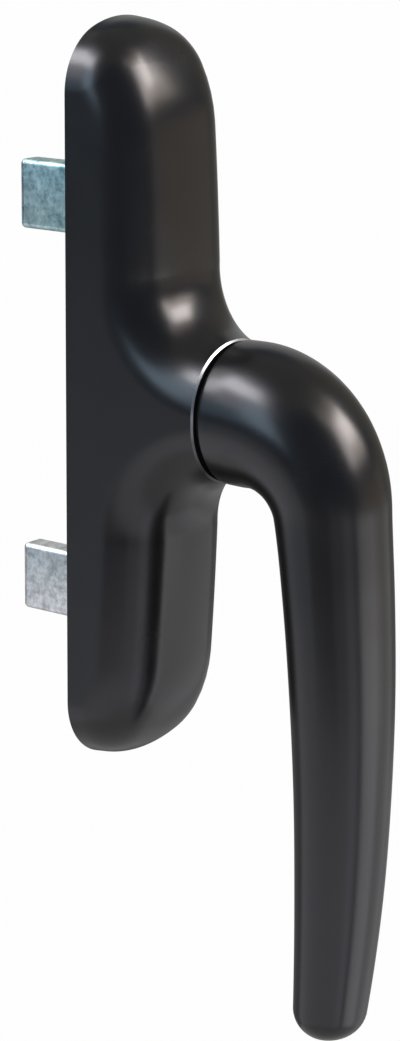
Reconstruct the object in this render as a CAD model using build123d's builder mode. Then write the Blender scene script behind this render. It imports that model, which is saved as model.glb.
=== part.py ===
from build123d import *
import os
from math import acos, asin, atan, atan2, cos, degrees, hypot, pi, radians, sin, sqrt, tan

# Tilt and turn window handle, in millimetres.
# +Z is up and +Y points into the sash. The turning axis runs along Y through the origin,
# which lies on the back face. A depth is measured from the back face towards the front.

os.makedirs("parts", exist_ok=True)

# Housing
plate_length = 155.4
plate_width = 36.5
plate_depth = 18.8
front_bow_radius = 750.0      # bow of the front from end to end
end_bow_radius = 30.5         # tighter bow in which the front falls away towards each end
end_bow_length = 21.7
front_crown_radius = 60.0     # crown of the front from side to side
shoulder_radius = 12.0
corner_radius = 13.8
end_radius = 26.2
housing_wall = 2.6
neck_radius = 14.7
neck_height = 29.6
neck_blend_radius = 14.0
neck_edge_chamfer = 0.35
neck_crown_excess = 0.3       # how much the arc at each end of the neck's outline is flatter than round
neck_side_excess = 0.6        # how much the arcs beside it are tighter

# Back plate
back_plate_thickness = 1.5
back_rim_width = 1.7
plate_screw_places = (54.3, 70.4)
plate_screw_radius = 1.5
plate_screw_head_radius = 2.9
plate_screw_length = 8.0
plate_screw_boss_radius = 2.4
guide_rail_length = 98.0

# Fixing posts
post_spacing = 124.0
post_radius = 4.6
fixing_thread_radius = 2.5
fixing_thread_depth = 11.0

# Lever
lever_gap = 1.3               # shadow gap between neck and lever
lever_straight = 3.5
lever_bend_radius = 19.5
lever_bend_angle = 83.0
grip_length = 112.0
grip_curve_radius = 500.0
lever_stations = (            # share of the way along, half width
    (0.0, 14.8), (0.04, 14.9), (0.085, 14.4), (0.13, 13.6), (0.175, 12.7), (0.23, 11.9),
    (0.35, 11.4), (0.48, 10.9), (0.63, 10.15), (0.77, 9.4), (0.89, 8.5), (1.0, 7.5))
grip_flatness = 0.05          # how much wider than deep the grip grows
lever_tip_round = 6.3
hub_edge_round = 0.5

# Drive
gear_module = 1.0
pinion_teeth = 12
pressure_angle = 25.0
pinion_addendum = 0.9
rack_addendum = 0.95
tooth_root_gap = 0.2
gear_backlash = 0.2
lever_travel = 180.0
slider_thickness = 5.0
slider_outer = 12.4           # outer face of a rack leg, from the middle plane
rack_teeth = 10
rack_teeth_past_axis = 2      # teeth on the far side of the turning axis
slider_far_side = 4.6         # how far a slider reaches across the middle plane
slider_end_margin = 1.0

# Prongs
upper_prong_place = 39.7
lower_prong_place = 43.2
prong_width = 14.6
prong_thickness = 5.8
prong_reach = 25.5
prong_edge_round = 0.7
tenon_width = 10.0
tenon_thickness = 3.6

# Spindle and its bearings
spindle_square = 7.0
spindle_end_depth = 43.0
journal_radius = 5.0
rear_journal_inset = 0.3
lever_journal_radius = 7.4
bush_wall = 1.5
bush_flange_radius = 10.0
bush_flange_thickness = 1.2
seam_washer_radius = 13.3
lever_screw_radius = 2.0
lever_screw_head_radius = 3.4
lever_screw_head_height = 2.0
lever_screw_end_depth = 49.0

# Index disc, detents and stop
bearing_plate_thickness = 1.2
bearing_plate_length = 66.0
bearing_screw_place = 27.0
bearing_screw_head_radius = 2.6
bearing_screw_length = 6.0
index_radius = 11.0
index_thickness = 4.0
thrust_washer_thickness = 0.8
ball_radius = 1.6
ball_travel = 0.5
spring_wire_width = 0.6
spring_coil_radius = 1.2
spring_turns = 4
trough_end = 22.0
detent_block_end = 31.0
detent_block_width = 10.0
stop_pin_radius = 1.2
stop_pin_place = 8.0
stop_groove_depth = 1.4

# Clearances
running_clearance = 0.05
slide_gap = 0.3
slot_clearance = 0.15

# Sizes that follow
half_length = plate_length / 2
bow_centre = front_bow_radius - plate_depth
end_bow_turn = asin((half_length - end_bow_length) / front_bow_radius)
end_bow_y = bow_centre - (front_bow_radius - end_bow_radius) * cos(end_bow_turn)
end_bow_z = (front_bow_radius - end_bow_radius) * sin(end_bow_turn)
draft = (plate_width / 2 - neck_radius) / neck_height
draft_angle = degrees(atan(draft))
pitch_radius = gear_module * pinion_teeth / 2
tooth_pitch = pi * gear_module
slider_travel = pitch_radius * radians(lever_travel)
slider_back = back_plate_thickness + slide_gap
slider_front = slider_back + slider_thickness
bearing_back = slider_front + slide_gap
bearing_front = bearing_back + bearing_plate_thickness
index_back = bearing_front + slide_gap
index_front = index_back + index_thickness
washer_back = index_front + running_clearance
bush_back = washer_back + thrust_washer_thickness + running_clearance
neck_floor = bush_back + bush_flange_thickness
bush_radius = lever_journal_radius + running_clearance + bush_wall
detent_depth = index_back + index_thickness * 0.72
ball_place = index_radius + ball_radius + running_clearance
trough_half_width = ball_radius + 2 * running_clearance
hub_depth = neck_height + lever_gap
guide_face = slider_outer + slot_clearance
post_place = post_spacing / 2


def at_depth(depth):
    """Plane parallel to the back face, with X across and Z up, looking towards the front."""
    return Plane.XZ.offset(depth)


def plate_outline(inset):
    """Outline of the plate: straight sides, corner arcs and a flatter arc at each end."""
    half_width = plate_width / 2 - inset
    end = half_length - inset
    corner = corner_radius - inset
    arc = end_radius - inset
    corner_x = half_width - corner
    corner_z = end - arc + sqrt((arc - corner) ** 2 - corner_x ** 2)
    turn = atan2(corner_z - (end - arc), corner_x)
    joint = (arc * cos(turn), end - arc + arc * sin(turn))
    middle = (corner_x + corner * cos(turn / 2), corner_z + corner * sin(turn / 2))
    for side in (1, -1):
        start = (side * half_width, side * corner_z)
        bend = (side * middle[0], side * middle[1])
        meet = (side * joint[0], side * joint[1])
        Line((side * half_width, -side * corner_z), start)
        ThreePointArc(start, bend, meet)
        ThreePointArc(meet, (0, side * end), (-meet[0], meet[1]))
        ThreePointArc((-meet[0], meet[1]), (-bend[0], bend[1]), (-start[0], start[1]))


def plate_blank(inset):
    """The plate as a solid block, moved inwards by inset on its sides and front."""
    crown = front_crown_radius - inset
    reach = plate_width
    fall = crown - sqrt(crown ** 2 - reach ** 2)
    bows = (
        (bow_centre, 0, front_bow_radius - inset, 0, end_bow_turn),
        (end_bow_y, end_bow_z, end_bow_radius - inset, end_bow_turn, end_bow_turn + pi / 2))
    with BuildPart() as bow:
        for centre_y, centre_z, radius, start, turn in bows:
            inner = max(radius - 2 * plate_depth, 0)
            centre = (0, centre_y, centre_z)
            with BuildSketch(Plane(origin=centre, x_dir=(1, 0, 0), z_dir=(0, sin(start), cos(start)))):
                with BuildLine():
                    ThreePointArc((-reach, fall - radius), (0, -radius), (reach, fall - radius))
                    Polyline((reach, fall - radius), (reach, -inner), (-reach, -inner), (-reach, fall - radius))
                make_face()
            revolve(axis=Axis(centre, (-1, 0, 0)), revolution_arc=degrees(turn))
        mirror(about=Plane.XY)
    with BuildPart() as blank:
        with BuildSketch(Plane.XZ):
            with BuildLine():
                plate_outline(inset)
            make_face()
        extrude(amount=plate_depth + 2, taper=draft_angle)
        add(bow.part, mode=Mode.INTERSECT)
        fronts = blank.faces().filter_by(lambda face: face.normal_at(face.center()).Y < -0.5)
        meets = [edge for face in fronts for edge in face.edges()]
        rim = [edge for edge in meets if sum(edge.is_same(other) for other in meets) == 1]
        fillet(rim, radius=shoulder_radius - inset)
    return blank.part


# The blend from the plate's front to the neck has this centre line, parallel to X
reach_bow = front_bow_radius + neck_blend_radius
span = hypot(bow_centre + neck_height, neck_radius)
tilt = atan2(neck_radius, bow_centre + neck_height)
spread = acos((reach_bow ** 2 + span ** 2 - neck_blend_radius ** 2) / (2 * reach_bow * span))
blend_start = tilt + spread
blend_z = reach_bow * sin(blend_start)
blend_depth = reach_bow * cos(blend_start) - bow_centre


def blend_plane(angle):
    """Plane through the centre line of the blend, whose local Y runs into the housing."""
    return Plane(origin=(0, -blend_depth, blend_z), x_dir=(1, 0, 0), z_dir=(0, sin(angle), cos(angle)))


def arch_section(angle, shoulder, crown):
    """Arch of the housing in one plane of the blend: two drafted sides, shoulders and a crown."""
    slope = draft * cos(angle)
    width = plate_width / 2 - draft * blend_depth
    lean = sqrt(1 + slope ** 2)
    top = neck_blend_radius + crown
    a = 1 + slope ** 2
    b = 2 * slope * (width - shoulder * lean) - 2 * top
    c = (width - shoulder * lean) ** 2 + top ** 2 - (crown - shoulder) ** 2
    centre_t = (-b - sqrt(b ** 2 - 4 * a * c)) / (2 * a)
    centre_x = width + slope * centre_t - shoulder * lean
    away = hypot(centre_x, centre_t - top)
    joint = (centre_x * crown / away, top + (centre_t - top) * crown / away)
    foot = (centre_x + shoulder / lean, centre_t - shoulder * slope / lean)
    end_t = neck_blend_radius + 3 * neck_radius + plate_depth
    leg = (width + slope * end_t, end_t)
    half = (atan2(joint[1] - centre_t, joint[0] - centre_x) + atan2(foot[1] - centre_t, foot[0] - centre_x)) / 2
    bend = (centre_x + shoulder * cos(half), centre_t + shoulder * sin(half))
    with BuildSketch(blend_plane(angle)) as section:
        with BuildLine():
            Line(leg, foot)
            ThreePointArc(foot, bend, joint)
            ThreePointArc(joint, (0, neck_blend_radius), (-joint[0], joint[1]))
            ThreePointArc((-joint[0], joint[1]), (-bend[0], bend[1]), (-foot[0], foot[1]))
            Line((-foot[0], foot[1]), (-leg[0], leg[1]))
            Line((-leg[0], leg[1]), leg)
        make_face()
    return section.sketch


# Upper half of the neck with its blend into the plate
blend_width = plate_width / 2 - draft * blend_depth
blend_sections = []
for share in (0, 0.25, 0.5, 0.75, 1):
    angle = blend_start + share * (pi / 2 - blend_start)
    shoulder = shoulder_radius + share * (blend_width - neck_side_excess - shoulder_radius)
    crown = 1 / ((1 - share) / front_crown_radius + share / (blend_width + neck_crown_excess))
    blend_sections.append(arch_section(angle, shoulder, crown))

with BuildPart() as neck_half:
    loft(sections=blend_sections)
    extrude(blend_sections[-1], amount=-neck_height)
    split(bisect_by=Plane.XZ, keep=Keep.TOP)
    split(bisect_by=at_depth(neck_height), keep=Keep.BOTTOM)
    split(bisect_by=Plane.XY, keep=Keep.TOP)

# Hollow of the housing, around the posts, bosses, guide rails and detent blocks cast inside it
block_start = index_radius + slide_gap
block_length = detent_block_end - block_start
with BuildPart() as hollow:
    add(plate_blank(housing_wall))
    with BuildSketch(Plane.XZ):
        with BuildLine():
            plate_outline(back_rim_width)
        make_face()
    extrude(amount=back_plate_thickness)
    with BuildSketch(Plane.XZ):
        with Locations((0, post_place), (0, -post_place)):
            Circle(post_radius)
    extrude(amount=plate_depth, mode=Mode.SUBTRACT)
    with BuildSketch(at_depth(back_plate_thickness)):
        for place in plate_screw_places:
            with Locations((0, place), (0, -place)):
                Circle(plate_screw_boss_radius)
    extrude(amount=plate_depth, mode=Mode.SUBTRACT)
    with BuildSketch(at_depth(back_plate_thickness)):
        with GridLocations(2 * (guide_face + housing_wall), 0, 2, 1):
            Rectangle(2 * housing_wall, guide_rail_length)
    extrude(amount=bearing_back - back_plate_thickness, mode=Mode.SUBTRACT)
    with BuildSketch(at_depth(bearing_front)):
        with Locations((0, block_start + block_length / 2), (0, -block_start - block_length / 2)):
            Rectangle(detent_block_width, block_length)
    extrude(amount=plate_depth, mode=Mode.SUBTRACT)
    with BuildSketch(at_depth(neck_floor)):
        Circle(neck_radius - housing_wall / 2)
    extrude(amount=plate_depth, mode=Mode.SUBTRACT)

with BuildPart() as housing:
    add(plate_blank(0))
    split(bisect_by=blend_plane(blend_start), keep=Keep.TOP)
    add(neck_half.part)
    mirror(about=Plane.XY)
    neck_rim = housing.faces().filter_by(GeomType.PLANE).sort_by(Axis.Y)[0]
    chamfer(neck_rim.edges(), length=neck_edge_chamfer)
    add(hollow.part, mode=Mode.SUBTRACT)
    with BuildSketch(Plane.XZ):
        with Locations((0, post_place), (0, -post_place)):
            Circle(fixing_thread_radius)
    extrude(amount=fixing_thread_depth, mode=Mode.SUBTRACT)
    with BuildSketch(at_depth(back_plate_thickness)):
        for place in plate_screw_places:
            with Locations((0, place), (0, -place)):
                Circle(plate_screw_radius)
    extrude(amount=plate_screw_length - back_plate_thickness, mode=Mode.SUBTRACT)
    with BuildSketch(at_depth(bearing_front)):
        with Locations((0, bearing_screw_place), (0, -bearing_screw_place)):
            Circle(plate_screw_radius)
    extrude(amount=plate_screw_length - 2 * bearing_plate_thickness, mode=Mode.SUBTRACT)
    with BuildSketch(at_depth(neck_floor)):
        Circle(bush_radius)
    extrude(amount=neck_height, mode=Mode.SUBTRACT)
    with BuildSketch(at_depth(bearing_front)):
        Rectangle(2 * trough_half_width, 2 * trough_end)
    extrude(amount=detent_depth - bearing_front, mode=Mode.SUBTRACT)
    for side in (1, -1):
        with BuildSketch(Plane.XY.offset(side * block_start)):
            with Locations((0, -detent_depth)):
                Circle(trough_half_width)
        extrude(amount=side * (trough_end - block_start), mode=Mode.SUBTRACT)


def save(piece, name):
    """Label a finished piece and write it."""
    piece.label = name
    export_step(piece, f"parts/{name}.step")
    print(name, round(piece.volume, 1), piece.is_valid, len(piece.solids()))


save(housing.part, "housing")


def countersunk_screw(shank, head, length):
    """Countersunk screw along Z with its head's flat top at the origin and a cross recess."""
    with BuildPart() as screw:
        Cone(shank, head, head - shank, align=(Align.CENTER, Align.CENTER, Align.MAX))
        Cylinder(shank, length, align=(Align.CENTER, Align.CENTER, Align.MAX))
        with BuildSketch():
            Rectangle(1.3 * head, 0.25 * head)
            Rectangle(0.25 * head, 1.3 * head)
        extrude(amount=-0.6 * (head - shank), mode=Mode.SUBTRACT)
    return screw.part


def head_place(depth, place):
    """Where a screw driven in from behind has the top of its head."""
    return Plane(origin=(0, -depth, place), x_dir=(1, 0, 0), z_dir=(0, 1, 0))


# Back plate with its slots, and its screws
slot_reach = slider_travel + prong_width + 2 * slide_gap
with BuildPart() as back_plate:
    with BuildSketch(Plane.XZ):
        with BuildLine():
            plate_outline(back_rim_width + slot_clearance)
        make_face()
        with Locations((0, post_place), (0, -post_place)):
            Circle(post_radius + slot_clearance, mode=Mode.SUBTRACT)
        Circle(journal_radius + running_clearance, mode=Mode.SUBTRACT)
        for side, prong_place in ((1, upper_prong_place), (-1, lower_prong_place)):
            with Locations((0, side * (prong_place - slider_travel / 2))):
                RectangleRounded(
                    prong_thickness + 2 * slot_clearance, slot_reach, prong_edge_round, mode=Mode.SUBTRACT)
    extrude(amount=back_plate_thickness)
    for place in plate_screw_places:
        with Locations(head_place(0, place), head_place(0, -place)):
            CounterSinkHole(
                plate_screw_radius, plate_screw_head_radius, 2 * back_plate_thickness, counter_sink_angle=90)
save(back_plate.part, "back_plate")

with BuildPart() as back_plate_screws:
    for place in plate_screw_places:
        with Locations(head_place(0, place), head_place(0, -place)):
            add(countersunk_screw(plate_screw_radius, plate_screw_head_radius, plate_screw_length - slide_gap))
save(back_plate_screws.part, "back_plate_screws")

# Bearing plate behind the index disc, with its screws and the stop pin
with BuildPart() as bearing_plate:
    with BuildSketch(at_depth(bearing_back)):
        RectangleRounded(2 * slider_outer, bearing_plate_length, bearing_screw_head_radius)
        Circle(journal_radius + running_clearance, mode=Mode.SUBTRACT)
        with Locations((stop_pin_place, 0)):
            Circle(stop_pin_radius, mode=Mode.SUBTRACT)
    extrude(amount=bearing_plate_thickness)
    with Locations(
            head_place(bearing_back, bearing_screw_place), head_place(bearing_back, -bearing_screw_place)):
        CounterSinkHole(
            plate_screw_radius, bearing_screw_head_radius, 2 * bearing_plate_thickness, counter_sink_angle=90)
save(bearing_plate.part, "bearing_plate")

with BuildPart() as bearing_plate_screws:
    with Locations(
            head_place(bearing_back, bearing_screw_place), head_place(bearing_back, -bearing_screw_place)):
        add(countersunk_screw(plate_screw_radius, bearing_screw_head_radius, bearing_screw_length))
save(bearing_plate_screws.part, "bearing_plate_screws")

with BuildPart() as stop_pin:
    with BuildSketch(at_depth(bearing_back)):
        with Locations((stop_pin_place, 0)):
            Circle(stop_pin_radius)
    extrude(amount=index_back + stop_groove_depth - 2 * slot_clearance - bearing_back)
save(stop_pin.part, "stop_pin")

# Neck bush, thrust washer and the washer in the shadow gap
with BuildPart() as neck_bush:
    with BuildSketch(at_depth(bush_back)):
        Circle(bush_flange_radius)
    extrude(amount=bush_flange_thickness)
    with BuildSketch(at_depth(bush_back)):
        Circle(bush_radius)
    extrude(amount=neck_height - bush_back - slot_clearance)
    with BuildSketch(at_depth(bush_back)):
        Circle(lever_journal_radius + running_clearance)
    extrude(amount=neck_height, mode=Mode.SUBTRACT)
save(neck_bush.part, "neck_bush")

with BuildPart() as thrust_washer:
    with BuildSketch(at_depth(washer_back)):
        Circle(bush_radius)
        Circle(spindle_square / sqrt(2) + slide_gap, mode=Mode.SUBTRACT)
    extrude(amount=thrust_washer_thickness)
save(thrust_washer.part, "thrust_washer")

with BuildPart() as seam_washer:
    with BuildSketch(at_depth(neck_height)):
        Circle(seam_washer_radius)
        Circle(lever_journal_radius + slide_gap, mode=Mode.SUBTRACT)
    extrude(amount=lever_gap - running_clearance)
save(seam_washer.part, "seam_washer")

# Lever
bend = radians(lever_bend_angle)
bend_length = lever_bend_radius * bend
lever_length = lever_straight + bend_length + grip_length


def lever_plane(distance):
    """Plane square to the lever's centre line at a distance from the hub's face."""
    turned = min(max(distance - lever_straight, 0) / lever_bend_radius, bend)
    depth = hub_depth + min(distance, lever_straight) + lever_bend_radius * sin(turned)
    height = -lever_bend_radius * (1 - cos(turned))
    along_grip = max(distance - lever_straight - bend_length, 0)
    heading = turned + along_grip / grip_curve_radius
    depth += grip_curve_radius * (sin(heading) - sin(turned))
    height -= grip_curve_radius * (cos(turned) - cos(heading))
    return Plane(origin=(0, -depth, height), x_dir=(1, 0, 0), z_dir=(0, -cos(heading), -sin(heading)))


lever_sections = []
for share, half_width in lever_stations:
    oval = grip_flatness * min(share / lever_stations[6][0], 1)
    with BuildSketch(lever_plane(share * lever_length)) as section:
        Ellipse(half_width * (1 + oval), half_width * (1 - oval))
    lever_sections.append(section.sketch)

with BuildPart() as lever:
    loft(sections=lever_sections)
    tip = lever.faces().filter_by(GeomType.PLANE).sort_by(Axis.Z)[0]
    fillet(tip.edges(), radius=lever_tip_round)
    hub_face = lever.faces().filter_by(GeomType.PLANE).sort_by(Axis.Y)[-1]
    fillet(hub_face.edges(), radius=hub_edge_round)
    with BuildSketch(at_depth(bush_back + running_clearance)):
        Circle(lever_journal_radius)
    extrude(amount=hub_depth + hub_edge_round - bush_back)
    with BuildSketch(at_depth(bush_back)):
        Rectangle(spindle_square + 2 * running_clearance, spindle_square + 2 * running_clearance)
    extrude(amount=spindle_end_depth + slide_gap - bush_back, mode=Mode.SUBTRACT)
    with BuildSketch(at_depth(spindle_end_depth)):
        Circle(lever_screw_radius + running_clearance)
    extrude(amount=lever_screw_end_depth + slide_gap - spindle_end_depth, mode=Mode.SUBTRACT)
save(lever.part, "lever")

# Drive spindle: rear journal, pinion, front journal and square, bored for the lever screw
tooth_angle = radians(pressure_angle)
base_radius = pitch_radius * cos(tooth_angle)
tooth_width = tooth_pitch / 2 - gear_backlash / 2


def tooth_point(radius, centre, side):
    """Point on the involute flank of the pinion tooth at a centre angle, on one side of it."""
    roll = acos(base_radius / radius)
    half = tooth_width / (2 * pitch_radius) + tan(tooth_angle) - tooth_angle - tan(roll) + roll
    return (radius * cos(centre + side * half), radius * sin(centre + side * half))


def polar(radius, angle):
    """Point at a radius and an angle."""
    return (radius * cos(angle), radius * sin(angle))


pinion_outer = pitch_radius + pinion_addendum
pinion_root = pitch_radius - rack_addendum - tooth_root_gap
flank_middle = (base_radius + pinion_outer) / 2
head_seat = rear_journal_inset + lever_screw_head_height + slot_clearance
with BuildPart() as drive_spindle:
    with BuildSketch(at_depth(rear_journal_inset)):
        Circle(journal_radius)
    extrude(amount=slider_back - rear_journal_inset)
    with BuildSketch(at_depth(slider_back)):
        with BuildLine():
            for tooth in range(pinion_teeth):
                centre = 2 * pi * tooth / pinion_teeth
                up, across, down = (
                    [tooth_point(radius, centre, side) for radius in radii]
                    for side, radii in (
                        (-1, (base_radius, flank_middle, pinion_outer)),
                        (1, (pinion_outer,)),
                        (1, (pinion_outer, flank_middle, base_radius))))
                root_turn = atan2(down[2][1], down[2][0]) - centre
                root_turn = (root_turn + pi) % (2 * pi) - pi
                root_in = polar(pinion_root, centre - root_turn)
                root_out = polar(pinion_root, centre + root_turn)
                next_root = polar(pinion_root, centre + 2 * pi / pinion_teeth - root_turn)
                Line(root_in, up[0])
                ThreePointArc(*up)
                ThreePointArc(up[2], polar(pinion_outer, centre), across[0])
                ThreePointArc(*down)
                Line(down[2], root_out)
                ThreePointArc(root_out, polar(pinion_root, centre + pi / pinion_teeth), next_root)
        make_face()
    extrude(amount=slider_thickness)
    with BuildSketch(at_depth(slider_front)):
        Circle(journal_radius)
    extrude(amount=index_back - slider_front)
    with BuildSketch(at_depth(index_back)):
        Rectangle(spindle_square, spindle_square)
    extrude(amount=spindle_end_depth - index_back)
    with BuildSketch(Plane.XZ):
        Circle(lever_screw_radius + slot_clearance)
    extrude(amount=spindle_end_depth, mode=Mode.SUBTRACT)
    with BuildSketch(Plane.XZ):
        Circle(lever_screw_head_radius + slot_clearance)
    extrude(amount=head_seat, mode=Mode.SUBTRACT)
save(drive_spindle.part, "drive_spindle")

with BuildPart() as lever_screw:
    with BuildSketch(at_depth(head_seat - lever_screw_head_height)):
        Circle(lever_screw_head_radius)
    extrude(amount=lever_screw_head_height)
    with BuildSketch(at_depth(head_seat)):
        Circle(lever_screw_radius)
    extrude(amount=lever_screw_end_depth - head_seat)
    with BuildSketch(at_depth(head_seat - lever_screw_head_height)):
        RegularPolygon(lever_screw_head_radius / 2, 6)
    extrude(amount=0.6 * lever_screw_head_height, mode=Mode.SUBTRACT)
save(lever_screw.part, "lever_screw")

# Index disc: four notches for the balls and a half ring groove for the stop pin
with BuildPart() as index_disc:
    with BuildSketch(at_depth(index_back)):
        Circle(index_radius)
        with PolarLocations(ball_place - ball_travel, 4):
            Circle(ball_radius + running_clearance, mode=Mode.SUBTRACT)
        Rectangle(
            spindle_square + 2 * running_clearance, spindle_square + 2 * running_clearance, mode=Mode.SUBTRACT)
    extrude(amount=index_thickness)
    with BuildSketch(at_depth(index_back)):
        with BuildLine() as groove_path:
            CenterArc((0, 0), stop_pin_place, 180, lever_travel)
        SlotArc(groove_path.edges()[0], 2 * (stop_pin_radius + slot_clearance))
    extrude(amount=stop_groove_depth, mode=Mode.SUBTRACT)
save(index_disc.part, "index_disc")

# Detent balls, drawn pushed back out of their notches, and the springs behind them
for name, side in (("upper", 1), ("lower", -1)):
    with BuildPart() as detent_ball:
        with Locations((0, -detent_depth, side * ball_place)):
            Sphere(ball_radius)
    save(detent_ball.part, f"{name}_detent_ball")

    spring_inner = spring_coil_radius - spring_wire_width / 2
    seat = ball_place + sqrt(ball_radius ** 2 - spring_inner ** 2)
    coil_start = seat + spring_wire_width / 2 + running_clearance
    coil_length = trough_end - spring_wire_width / 2 - coil_start
    with BuildPart() as detent_spring:
        with BuildLine():
            coil = Helix(
                coil_length / spring_turns, coil_length, spring_coil_radius,
                center=(0, -detent_depth, side * coil_start), direction=(0, 0, side))
        with BuildSketch(Plane(origin=coil @ 0, x_dir=(1, 0, 0), z_dir=coil % 0)):
            Rectangle(spring_wire_width, spring_wire_width)
        sweep(path=coil, is_frenet=True)
    save(detent_spring.part, f"{name}_detent_spring")


def slider(prong_place):
    """Slider for the upper side: rack leg on the left, web over the middle and the prong's seat."""
    tip = pitch_radius - rack_addendum
    root = pitch_radius + pinion_addendum + tooth_root_gap
    half_tip = tooth_width / 2 - rack_addendum * tan(tooth_angle)
    half_root = tooth_width / 2 + (root - pitch_radius) * tan(tooth_angle)
    top = prong_place + prong_width / 2 + slider_end_margin
    web = prong_place - prong_width / 2 - slider_end_margin
    foot = -rack_teeth_past_axis * tooth_pitch
    points = [(-slider_outer, foot), (-slider_outer, top), (slider_far_side, top), (slider_far_side, web), (-root, web)]
    for tooth in reversed(range(rack_teeth)):
        middle = (tooth + 0.5 - rack_teeth_past_axis) * tooth_pitch
        points += [
            (-root, middle + half_root), (-tip, middle + half_tip),
            (-tip, middle - half_tip), (-root, middle - half_root)]
    points.append((-root, foot))
    with BuildPart() as piece:
        with BuildSketch(at_depth(slider_back)) as face:
            with BuildLine():
                Polyline(*points, close=True)
            make_face()
            fillet(face.vertices().group_by(Axis.Y)[-1], radius=2 * slider_end_margin)
            with Locations((0, prong_place)):
                Rectangle(tenon_thickness, tenon_width, mode=Mode.SUBTRACT)
        extrude(amount=slider_thickness)
    return piece.part


def prong(prong_place):
    """Flat prong for the upper side, with the tenon that is riveted into the slider."""
    with BuildPart() as piece:
        with BuildSketch(at_depth(slider_back)):
            with Locations((0, prong_place)):
                RectangleRounded(prong_thickness, prong_width, prong_edge_round)
        extrude(amount=-slider_back - prong_reach)
        fillet(piece.faces().sort_by(Axis.Y)[-1].edges(), radius=0.6 * prong_edge_round)
        with BuildSketch(at_depth(slider_back)):
            with Locations((0, prong_place)):
                Rectangle(tenon_thickness, tenon_width)
        extrude(amount=slider_thickness)
    return piece.part


for name, turn, prong_place in (("upper", 0, upper_prong_place), ("lower", 180, lower_prong_place)):
    with BuildPart() as rack_slider:
        add(slider(prong_place), rotation=(0, turn, 0))
    save(rack_slider.part, f"{name}_slider")
    with BuildPart() as rod_prong:
        add(prong(prong_place), rotation=(0, turn, 0))
    save(rod_prong.part, f"{name}_prong")
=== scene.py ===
from math import acos, asin, atan2, cos, hypot, pi, radians, sin, sqrt

import bmesh
import bpy
from mathutils import Matrix, Vector


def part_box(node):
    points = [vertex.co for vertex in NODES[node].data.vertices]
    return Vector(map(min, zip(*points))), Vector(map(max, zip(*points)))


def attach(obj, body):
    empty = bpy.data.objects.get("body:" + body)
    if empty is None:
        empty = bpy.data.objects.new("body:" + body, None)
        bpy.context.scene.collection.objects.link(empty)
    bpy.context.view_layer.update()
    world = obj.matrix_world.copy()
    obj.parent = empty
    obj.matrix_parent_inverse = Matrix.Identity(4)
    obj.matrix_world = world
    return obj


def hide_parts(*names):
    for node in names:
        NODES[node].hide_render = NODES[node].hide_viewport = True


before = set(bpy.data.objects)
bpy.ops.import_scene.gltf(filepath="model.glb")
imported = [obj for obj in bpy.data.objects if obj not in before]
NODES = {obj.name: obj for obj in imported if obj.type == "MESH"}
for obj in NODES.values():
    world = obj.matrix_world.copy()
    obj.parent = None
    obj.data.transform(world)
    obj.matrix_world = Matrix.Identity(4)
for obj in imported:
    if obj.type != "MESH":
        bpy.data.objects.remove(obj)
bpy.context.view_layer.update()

# Tilt and turn window handle. A depth is measured in metres from the back face towards the front.
MM = 0.001
MERGE = 0.0002 * MM            # points closer than this become one
CUT_SLACK = 1e-8               # how near a point may lie to a cut and still be on it
NEAR = 1e-6                    # places, lengths or angles that differ by less are the same
CLEARLY = 0.1 * MM             # lengths above this differ for certain
TINY = 1e-9                    # keeps a division from ending in nothing
HALVINGS = 40                  # rounds of the search for a place by halving

# Housing
PLATE_LENGTH = 155.4 * MM
PLATE_WIDTH = 36.5 * MM
PLATE_DEPTH = 18.8 * MM
FRONT_BOW = 750 * MM           # radius of the front's long bow
END_BOW = 30.5 * MM            # radius of its tight bow, which starts this far from each end:
END_BOW_LENGTH = 21.7 * MM
FRONT_CROWN = 60 * MM          # radius of the front across the plate
SHOULDER = 12 * MM             # radius from the sides to the front
CORNER = 13.8 * MM             # radii of the outline at the corners and round the ends
END_ROUND = 26.2 * MM
NECK_RADIUS = 14.7 * MM
NECK_HEIGHT = 29.6 * MM
NECK_BLEND = 14 * MM           # radius of the hollow round from the plate up to the neck
NECK_EDGE = 0.35 * MM
RIM_LINE = 0.08 * MM           # thickness of the bare metal line on the neck's chamfer
CROWN_EXCESS = 0.3 * MM        # at the neck, the crown is more than the half width by this
SIDE_EXCESS = 0.6 * MM         # and the shoulder is less by this
ROWS_MARGIN = 1.2 * MM         # how far above the blend the plate's own rows end
RIM_WIDTH = 1.7 * MM
PLATE_RECESS = 1.5 * MM
HOLLOW_STEP = 0.9 * MM
HOLLOW_DEPTH = 7.05 * MM
BUSH_RADIUS = 9.0 * MM
BUSH_DEPTH = 14.7 * MM

# Steps of the housing's rows: round the outline, then up the side, round the shoulder and over
END_STEPS, CORNER_STEPS, SIDE_STEPS = 26, 34, 18
OUTER_NECK_STEPS, INNER_NECK_STEPS = 24, 46   # rows that start at the back face, at the middle
LAST_NECK_ROW = radians(89.5)                 # lies in front of where the neck is cut off
LEG, ARC, TOP = 10, 26, 12

# Lever
HUB_DEPTH = 30.9 * MM
LEVER_STRAIGHT = 3.5 * MM
BEND_RADIUS = 19.5 * MM
BEND_ANGLE = radians(83)
GRIP_LENGTH = 112 * MM
GRIP_CURVE = 500 * MM
GRIP_FLATNESS = 0.05
OVAL_FROM = 0.35               # share of the way along from which the grip is fully oval
TIP_ROUND = 6.3 * MM
HUB_EDGE = 0.5 * MM
JOURNAL_RADIUS = 7.4 * MM
JOURNAL_DEPTH = 13.6 * MM
LEVER_SIDES = 96
HUB_EDGE_STEPS, STRAIGHT_STEPS, BEND_STEPS, GRIP_STEPS, TIP_STEPS = 5, 4, 34, 50, 12
LEVER_STATIONS = (             # share of the way along, half width in millimetres
    (0.0, 14.8), (0.04, 14.9), (0.085, 14.4), (0.13, 13.6), (0.175, 12.7), (0.23, 11.9),
    (0.35, 11.4), (0.48, 10.9), (0.63, 10.15), (0.77, 9.4), (0.89, 8.5), (1.0, 7.5))

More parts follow.
